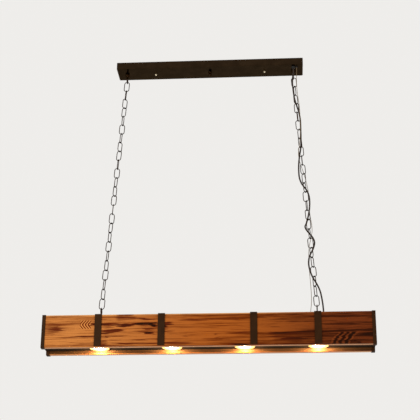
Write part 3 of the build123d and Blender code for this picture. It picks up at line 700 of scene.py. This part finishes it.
def screwed_loop(x, foot, up, shank, node, body, material):
    """A chain loop: shank, turned collar with a groove, neck and ring."""
    neck_top = loop_collar_height + loop_neck
    profile = [
        (0, -shank),
        (loop_shank_radius * 0.9, -shank),
        (loop_shank_radius, -shank + 0.0005),
        (loop_shank_radius, 0),
        (loop_collar_radius * 0.96, 0),
        (loop_collar_radius, 0.0004),
        (loop_collar_radius, 0.0020),
        (loop_collar_radius * 0.88, 0.0026),
        (loop_collar_radius * 0.88, 0.0034),
        (loop_collar_radius, 0.0040),
        (loop_collar_radius, 0.0062),
        (loop_collar_radius * 0.92, 0.0072),
        (loop_collar_radius * 0.70, 0.0084),
        (loop_neck_radius * 1.15, loop_collar_height - 0.0004),
        (loop_neck_radius * 0.98, loop_collar_height + 0.0006),
        (loop_neck_radius * 0.86, loop_collar_height + loop_neck * 0.5),
        (loop_neck_radius * 0.95, neck_top),
        (0, neck_top),
    ]
    middle = neck_top + loop_radius
    steps = 48
    ring = []
    for i in range(steps):
        angle = 2 * pi * i / steps
        ring.append(Vector((0, loop_radius * cos(angle), middle + loop_radius * sin(angle))))
    parts = [lathe(profile, 40), wire(ring, [loop_wire / 2] * steps, 14, Vector((1, 0, 0)))]
    placed = Matrix.Translation((x, 0, foot)) @ Matrix.Diagonal((1, 1, up, 1))
    loop = add_mesh(f"{node}_round", [moved(part, placed) for part in parts])
    return dress(loop, body, [node], material)


# Cords

def beside_chain(station, around, out):
    """A point beside the right chain."""
    around = radians(around)
    return on_chain(1, station) @ Vector((out * cos(around), out * sin(around), 0))


def route_line(route):
    """The smooth line of a cord whose route has these points."""
    curve = bpy.data.curves.new("route", "CURVE")
    curve.dimensions = "3D"
    curve.resolution_u = 16
    spline = curve.splines.new("NURBS")
    spline.points.add(len(route) - 1)
    for point, place in zip(spline.points, route):
        point.co = (*place, 1)
    spline.order_u = 3
    spline.use_endpoint_u = True
    holder = bpy.data.objects.new("route", curve)
    mesh = bpy.data.meshes.new_from_object(holder)
    line = [v.co.copy() for v in mesh.vertices]
    bpy.data.objects.remove(holder)
    bpy.data.meshes.remove(mesh)
    return line


def cut_line(line, height):
    """Cuts a falling line in two at a height."""
    index = next(i for i, point in enumerate(line) if point.z < height)
    above, below = line[index - 1], line[index]
    middle = above.lerp(below, (above.z - height) / (above.z - below.z))
    return line[:index] + [middle], [middle] + line[index:]


def hanging_cord(name, route, diameter, material):
    """A cord in four stretches, cut at set heights along the chain that carries it."""
    upper, run = cut_line(route_line(route), upper_cut)
    run, lower = cut_line(run, lower_cut)
    lower, last = cut_line(lower, last_cut)
    stretches = [
        ("top", upper, "canopy", "right_top_link", top_bend, "upper_tail"),
        ("run", run, "right_top_link", "right_chain", run_bend, "chain_run"),
        ("low", lower, "right_chain", "right_bottom_link", low_bend, "lower_tail"),
        ("end", last, "right_bottom_link", "beam", end_bend, "lower_tail"),
    ]
    for part, line, above, below, bend, node in stretches:
        piece = add_mesh(f"{name}_{part}", [tube(line, diameter / 2)])
        dress(piece, None, [f"{name}_{node}"], material)
        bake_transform(piece)


def housed_lead(name, route, diameter, body, node, material):
    """A lead inside a housing, fixed at both ends to one body."""
    line = route_line(route)
    piece = add_mesh(name, [tube(line, diameter / 2, 12)])
    dress(piece, body, [node], material)


def canopy_leads():
    """The cord's and the ground wire's ends inside the canopy."""
    screw_head = 0.0022
    terminal_low, terminal_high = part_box("ceiling_terminal")
    level = (terminal_low.z + terminal_high.z) / 2
    inner_y = cord_entry.y * 0.4
    housed_lead("canopy_cord_lead", [
        cord_entry,
        Vector((cord_entry.x, cord_entry.y, level)),
        Vector((cord_entry.x - 0.026, cord_entry.y * 0.5, level)),
        Vector((terminal_high.x + 0.012, inner_y, level)),
        Vector((terminal_high.x, inner_y, level)),
    ], cord_diameter, "canopy", "canopy_leads", dark_jacket)
    screw_low, screw_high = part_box("ground_screw")
    screw_x = (screw_low.x + screw_high.x) / 2
    end_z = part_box("ceiling_bracket")[0].z - screw_head - ground_diameter / 2
    housed_lead("canopy_ground_lead", [
        ground_entry,
        Vector((ground_entry.x, ground_entry.y, level)),
        Vector((ground_entry.x - 0.030, ground_entry.y * 0.3, end_z)),
        Vector((screw_x, 0, end_z)),
    ], ground_diameter, "canopy", "canopy_leads", ground_jacket)


def beam_leads():
    """The cord's end and the four lamp leads under the top board."""
    rows = (0.035, -0.031, 0.031, -0.035)
    cord_drop, lead_drop = 0.0084, 0.004
    board_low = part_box("top_board")[0].z
    terminal_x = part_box("beam_terminal")[0].x
    holder_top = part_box("lamp_holders")[1].z
    level = board_low - cord_drop
    housed_lead("beam_cord_lead", [
        cord_exit,
        Vector((cord_exit.x, 0, board_low + lead_drop)),
        Vector((cord_exit.x, 0, level)),
        Vector((cord_exit.x + 0.018, 0, level)),
        Vector((terminal_x, 0, level)),
    ], cord_diameter, "beam", "beam_leads", dark_jacket)
    level = board_low - lead_drop
    for number, (x, row) in enumerate(zip(spot_xs, rows), 1):
        drop_x = x + 0.012
        turn_x = min(drop_x + 0.022, terminal_x - 0.034)
        housed_lead(f"lamp_lead_{number}", [
            Vector((terminal_x, row * 0.3, level)),
            Vector((terminal_x - 0.012, row * 0.3, level)),
            Vector((terminal_x - 0.030, row, level)),
            Vector((turn_x, row, level)),
            Vector((drop_x, 0, level - lead_diameter / 2)),
            Vector((drop_x, 0, holder_top)),
        ], lead_diameter, "beam", "beam_leads", dark_jacket)


def bushing(place, seat, up, wall, height, radius, shank, bore):
    """A snap-in bushing with a rolled mouth, a grooved head on its seat, and a lip behind the wall."""
    lip = 0.0006
    behind = -wall - 0.0025
    corners = [
        (bore, height - 0.0008),
        (bore + 0.0006, height),
        (radius * 0.68, height),
        (radius * 0.75, height - 0.0005),
        (radius * 0.84, height * 0.78),
        (radius * 0.80, height * 0.74),
        (radius * 0.80, height * 0.66),
        (radius * 0.92, height * 0.62),
        (radius * 0.98, height * 0.50),
        (radius, height * 0.42),
        (radius, 0.0005),
        (radius - 0.0005, 0),
        (shank, 0),
        (shank, -wall),
        (shank + lip, -wall),
        (shank + lip * 2 / 3, -wall - 0.001),
        (shank, behind),
        (bore, behind),
    ]
    ring = turned_ring([(r, seat + up * z) for r, z in corners], 40)
    return moved(ring, Matrix.Translation((place.x, place.y, 0)))


def bushings(body, cord_place, ground_place, seat, up, wall):
    """The bushings of the cord and the ground wire in one wall."""
    parts = [
        bushing(cord_place, seat, up, wall, **cord_bushing),
        bushing(ground_place, seat, up, wall, **ground_bushing),
    ]
    node = f"{body}_bushings"
    dress(add_mesh(f"{node}_round", parts), body, [node], black_plastic)


def socket_screw(length):
    """A button-head screw with a hexagon socket, its head on z = 0 and its shank below."""
    head_radius, head, shank = 0.0036, 0.0022, 0.0017
    profile = [
        (0, -length),
        (shank * 0.5, -length),
        (shank, -length + 0.0015),
        (shank, 0),
        (head_radius * 0.96, 0),
        (head_radius, 0.0003),
        (head_radius * 0.97, head * 0.38),
        (head_radius * 0.86, head * 0.68),
        (head_radius * 0.68, head * 0.91),
        (head_radius * 0.50, head),
        (head_radius * 0.36, head, six_sided),
        (head_radius * 0.34, head * 0.35, six_sided),
        (0, head * 0.30),
    ]
    return lathe(profile, 36)


def screws(node, seat, length, xs):
    """The screws of one group, in both planks."""
    screw = socket_screw(length)
    places = [(x, side * screw_row, seat) for x in xs for side in (-1, 1)]
    parts = [moved(screw, Matrix.Translation(place)) for place in places]
    dress(add_mesh(f"{node}_round", parts), "beam", [node], black_steel)


# Spots

def at_spot(number, x, name, parts, body, material):
    """Places the parts of one node on a spot's axis and dresses them."""
    node = f"{name}_{number}"
    placed = [moved(part, Matrix.Translation((x, 0, 0))) for part in parts]
    dress(add_mesh(f"{node}_round", placed), body, [node], material)


def spot_ring(number, x):
    """The trim ring of a spot, dished and with rolled edges."""
    face, top = [corner.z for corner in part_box(f"spot_ring_{number}")]
    flange_back = face + spot_flange
    profile = [
        (spot_bore_radius, face + 0.0022),
        (spot_bore_radius + 0.0010, face + 0.0018),
        (spot_bore_radius + 0.0045, face + 0.0012),
        (spot_flange_radius - 0.0042, face + 0.0004),
        (spot_flange_radius - 0.0032, face),
        (spot_flange_radius - 0.0016, face),
        (spot_flange_radius - 0.0005, face + 0.0005),
        (spot_flange_radius, face + 0.0012),
        (spot_flange_radius, flange_back),
        (spot_neck_radius, flange_back),
        (spot_neck_radius, top - 0.0005),
        (spot_neck_radius - 0.0005, top),
        (spot_bore_radius, top),
    ]
    at_spot(number, x, "spot_ring", [turned_ring(profile, 72)], "beam", trim_painted_glow)


def lens(number, x):
    """The frosted lens, crowned and with a stepped rim."""
    face, back = [corner.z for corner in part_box(f"lens_{number}")]
    profile = [
        (0, back),
        (lens_radius, back),
        (lens_radius, face + 0.0009),
        (lens_radius * 0.95, face + 0.0007),
        (lens_radius * 0.93, face + 0.0010),
        (lens_radius * 0.80, face + 0.0004),
        (lens_radius * 0.50, face + 0.0001),
        (0, face),
    ]
    at_spot(number, x, "lens", [lathe(profile, 64)], f"lamp_{number}", glow)


def lamp(number, x):
    """A lamp's shell: a rim round the lens, a ribbed body and a base with two headed pins."""
    face, top = [corner.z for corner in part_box(f"lamp_{number}")]
    seat_radius = lens_radius + 0.0001
    base = face + lamp_height
    shell = lathe([
        (0, face + lens_thickness),
        (seat_radius, face + lens_thickness),
        (seat_radius, face + 0.0004),
        (seat_radius + 0.0005, face),
        (lamp_rim_radius - 0.0006, face),
        (lamp_rim_radius, face + 0.0006),
        (lamp_rim_radius, face + 0.0056),
        (lamp_rim_radius - 0.0007, face + 0.0064),
        (0.0236, face + 0.0075, ribbed),
        (0.0200, face + 0.0165, ribbed),
        (0.0160, face + 0.0285, ribbed),
        (0.0138, face + 0.0350, ribbed),
        (lamp_base_radius + 0.0002, face + 0.0375),
        (lamp_base_radius, face + 0.0385),
        (lamp_base_radius, base - 0.0012),
        (lamp_base_radius - 0.0008, base),
        (0, base),
    ], 96)
    pin = lathe([
        (0, base - 0.001),
        (pin_radius, base - 0.001),
        (pin_radius, base + 0.0026),
        (pin_head_radius - 0.0002, base + 0.0026),
        (pin_head_radius, base + 0.0029),
        (pin_head_radius, top - 0.0004),
        (pin_head_radius - 0.0004, top),
        (0, top),
    ], 24)
    pins = [moved(pin, Matrix.Translation((side * pin_offset, 0, 0))) for side in (-1, 1)]
    at_spot(number, x, "lamp", [shell, *pins], f"lamp_{number}", lamp_metal)


# Canopy fittings

def hexagon(half_width, low, high):
    """A hexagon with eased corners, between two heights."""
    ease = 0.0004
    corner = half_width / cos(pi / 6)
    rows = [(corner * 0.93, low), (corner, low + ease), (corner, high - ease), (corner * 0.97, high)]
    vertices = [(r * cos(pi * i / 3), r * sin(pi * i / 3), z) for r, z in rows for i in range(6)]
    faces = [tuple(reversed(range(6))), tuple(range(18, 24))]
    for row in range(3):
        for i in range(6):
            j = (i + 1) % 6
            faces.append((row * 6 + i, row * 6 + j, row * 6 + 6 + j, row * 6 + 6 + i))
    return vertices, faces


def cap_nuts():
    """The two domed nuts under the canopy."""
    half_width, nut_height, steps = 0.004, 0.004, 9
    low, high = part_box("cap_nuts")
    base = canopy_underside - nut_height
    nut = hexagon(half_width, base, canopy_underside)
    curve = []
    for i in range(steps):
        angle = pi / 2 * i / steps
        curve.append((half_width * 0.97 * cos(angle), base - (base - low.z) * sin(angle)))
    dome = lathe([(0, base + 0.0002), *curve, (0, low.z)], 32)
    nut_x = high.x - half_width / cos(pi / 6)
    places = [Matrix.Translation((side * nut_x, 0, 0)) for side in (-1, 1)]
    parts = [moved(part, place) for place in places for part in (nut, dome)]
    dress(add_mesh("cap_nuts_round", parts), "canopy", ["cap_nuts"], nickel)


def centre_finial():
    """The turned knob in the middle of the canopy, from shares of its radius and of its drop."""
    low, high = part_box("centre_finial")
    radius = high.x
    drop = high.z - low.z
    shares = [
        (0, 0), (1.0, 0), (1.0, 0.10), (0.93, 0.15), (0.70, 0.20), (0.58, 0.27), (0.54, 0.36),
        (0.56, 0.43), (0.68, 0.48), (0.79, 0.56), (0.83, 0.68), (0.79, 0.80), (0.66, 0.90),
        (0.42, 0.97), (0.2, 0.995), (0, 1),
    ]
    profile = [(radius * out, high.z - drop * down) for out, down in shares]
    finial = add_mesh("centre_finial_round", [lathe(profile)])
    dress(finial, "canopy", ["centre_finial"], bronze)


# The pieces

glow = lens_glow()
trim_painted_glow = spot_trim_painted_glow()
chain(-1, "left")
chain(1, "right")
for side, name in ((-1, "left"), (1, "right")):
    screwed_loop(side * pivots["swing"].x, canopy_underside, -1, canopy_shank, f"canopy_loop_{name}",
                 "canopy", bronze)
    screwed_loop(side * pivots["tilt"].x, wood_high + strap_sheet, 1, beam_shank, f"beam_loop_{name}",
                 "beam", black_steel)
cap_nuts()
centre_finial()
for number, spot_x in enumerate(spot_xs, 1):
    spot_ring(number, spot_x)
    lamp(number, spot_x)
    lens(number, spot_x)

cord_route = [
    cord_entry,
    cord_entry + Vector((0, 0, -0.016)),
    cord_entry + Vector((-0.006, 0.008, -0.052)),
    *[beside_chain(*row) for row in cord_weave],
    cord_exit + Vector((-0.003, 0.004, 0.052)),
    cord_exit + Vector((0, 0, 0.016)),
    cord_exit,
]
ground_route = [
    ground_entry,
    ground_entry + Vector((0, 0, -0.014)),
    ground_entry + Vector((-0.002, 0.006, -0.048)),
    *[beside_chain(*row) for row in ground_weave],
    ground_exit + Vector((0.005, -0.002, 0.048)),
    ground_exit + Vector((0, 0, 0.014)),
    ground_exit,
]
hanging_cord("cord", cord_route, cord_diameter, dark_jacket)
hanging_cord("ground", ground_route, ground_diameter, ground_jacket)
canopy_leads()
beam_leads()
bushings("canopy", cord_entry, ground_entry, canopy_underside, -1, canopy_sheet)
bushings("beam", cord_exit, ground_exit, wood_high, 1, board_thickness)
strap_xs = (-pivots["tilt"].x, -inner_strap_x, inner_strap_x, pivots["tilt"].x)
cap_screw_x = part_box("end_cap_right")[0].x + cap_screw_inset
screws("strap_screws", wood_high + strap_sheet, strap_screw_length, strap_xs)
screws("cap_screws", wood_high + cap_sheet, cap_screw_length, (-cap_screw_x, cap_screw_x))

paint(canopy_bronze, "canopy_pan")
paint(black_steel, "end_cap_left", "end_cap_right", "outer_strap_left", "outer_strap_right",
      "inner_strap_left", "inner_strap_right")
paint(tray_black, "lamp_tray")
paint(zinc, "ceiling_bracket", "canopy_studs", "loop_plates", "canopy_loop_nuts", "ground_screw",
      "holder_hangers", "beam_loop_nuts", "tray_screws")
paint(black_plastic, "ceiling_terminal", "beam_terminal")
paint(ceramic, "lamp_holders")
paint(front_pine, "front_plank")
paint(rear_pine, "rear_plank")
paint(board_pine, "top_board")


# Stage

def spot_lights(number, x):
    """The warm light of one lamp, beside both planks' inner faces. It rides with the lamp."""
    below_lens, from_axis = 0.0085, 0.018
    for side in (-1, 1):
        data = bpy.data.lights.new(f"spot_{number}_{side}", "POINT")
        data.energy = 1.5
        data.shadow_soft_size = 0.005
        data.color = (1.0, 0.86, 0.58)
        light = bpy.data.objects.new(f"spot_{number}_{side}", data)
        light.location = (x, side * from_axis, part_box(f"lens_{number}")[0].z - below_lens)
        bpy.context.scene.collection.objects.link(light)
        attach(light, f"lamp_{number}")


def soft_lamp(name, place, target, size, power):
    """A square soft light aimed at a point."""
    data = bpy.data.lights.new(name, "AREA")
    data.size = size
    data.energy = power
    data.color = (1.0, 0.97, 0.93)
    lamp = bpy.data.objects.new(name, data)
    lamp.location = place
    lamp.rotation_euler = (Vector(target) - Vector(place)).to_track_quat("-Z", "Y").to_euler()
    bpy.context.scene.collection.objects.link(lamp)


def pale_world():
    """Even soft light, with a pale background for the eye, for reflections and through glass."""
    light_strength, background_strength = 0.42, 0.86
    world = bpy.data.worlds.new("studio")
    bpy.context.scene.world = world
    world.use_nodes = True
    tree = world.node_tree
    background = tree.nodes["Background"]
    ray = tree.nodes.new("ShaderNodeLightPath")
    seen = ray.outputs["Is Camera Ray"]
    for kind in ("Is Glossy Ray", "Is Transmission Ray"):
        either = tree.nodes.new("ShaderNodeMath")
        either.operation = "MAXIMUM"
        tree.links.new(seen, either.inputs[0])
        tree.links.new(ray.outputs[kind], either.inputs[1])
        seen = either.outputs[0]
    strength = tree.nodes.new("ShaderNodeMapRange")
    strength.inputs["To Min"].default_value = light_strength
    strength.inputs["To Max"].default_value = background_strength
    tree.links.new(seen, strength.inputs["Value"])
    background.inputs["Color"].default_value = (1.0, 0.985, 0.96, 1)
    tree.links.new(strength.outputs[0], background.inputs["Strength"])


def pale_floor():
    """A plain pale floor under the hanging object."""
    reach, level = 20.0, -2.75
    corners = [(x * reach, y * reach, level) for x, y in ((-1, -1), (1, -1), (1, 1), (-1, 1))]
    floor = add_mesh("floor", [(corners, [(0, 1, 2, 3)])])
    g = Graph("floor")
    g.set(base_color=(0.88, 0.87, 0.85, 1), roughness=0.8)
    floor.data.materials.append(g.material)


def photo_camera():
    """The camera at the photograph's angle."""
    data = bpy.data.cameras.new("camera")
    data.sensor_width = sensor_width
    data.lens = focal_length
    camera = bpy.data.objects.new("camera", data)
    level = Vector((sin(camera_yaw), cos(camera_yaw), 0))
    ahead = cos(camera_pitch) * level + Vector((0, 0, sin(camera_pitch)))
    up = -sin(camera_pitch) * level + Vector((0, 0, cos(camera_pitch)))
    right = Vector((cos(camera_yaw), -sin(camera_yaw), 0))
    rolled_right = cos(camera_roll) * right + sin(camera_roll) * up
    rolled_up = -sin(camera_roll) * right + cos(camera_roll) * up
    turned = Matrix((rolled_right, rolled_up, -ahead)).transposed().to_4x4()
    camera.matrix_world = Matrix.Translation(eye) @ turned
    bpy.context.scene.collection.objects.link(camera)
    bpy.context.scene.camera = camera


pale_world()
pale_floor()
soft_lamp("key", (-2.6, -3.4, -0.2), target=(0, 0, -0.9), size=2.2, power=95)
soft_lamp("fill", (3.0, -2.6, -1.6), target=(0, 0, -0.8), size=2.0, power=35)
soft_lamp("back", (0.5, 3.2, 0.4), target=(0, 0, -0.7), size=2.4, power=45)
for number, spot_x in enumerate(spot_xs, 1):
    spot_lights(number, spot_x)
photo_camera()
bpy.context.scene.view_settings.view_transform = "Standard"
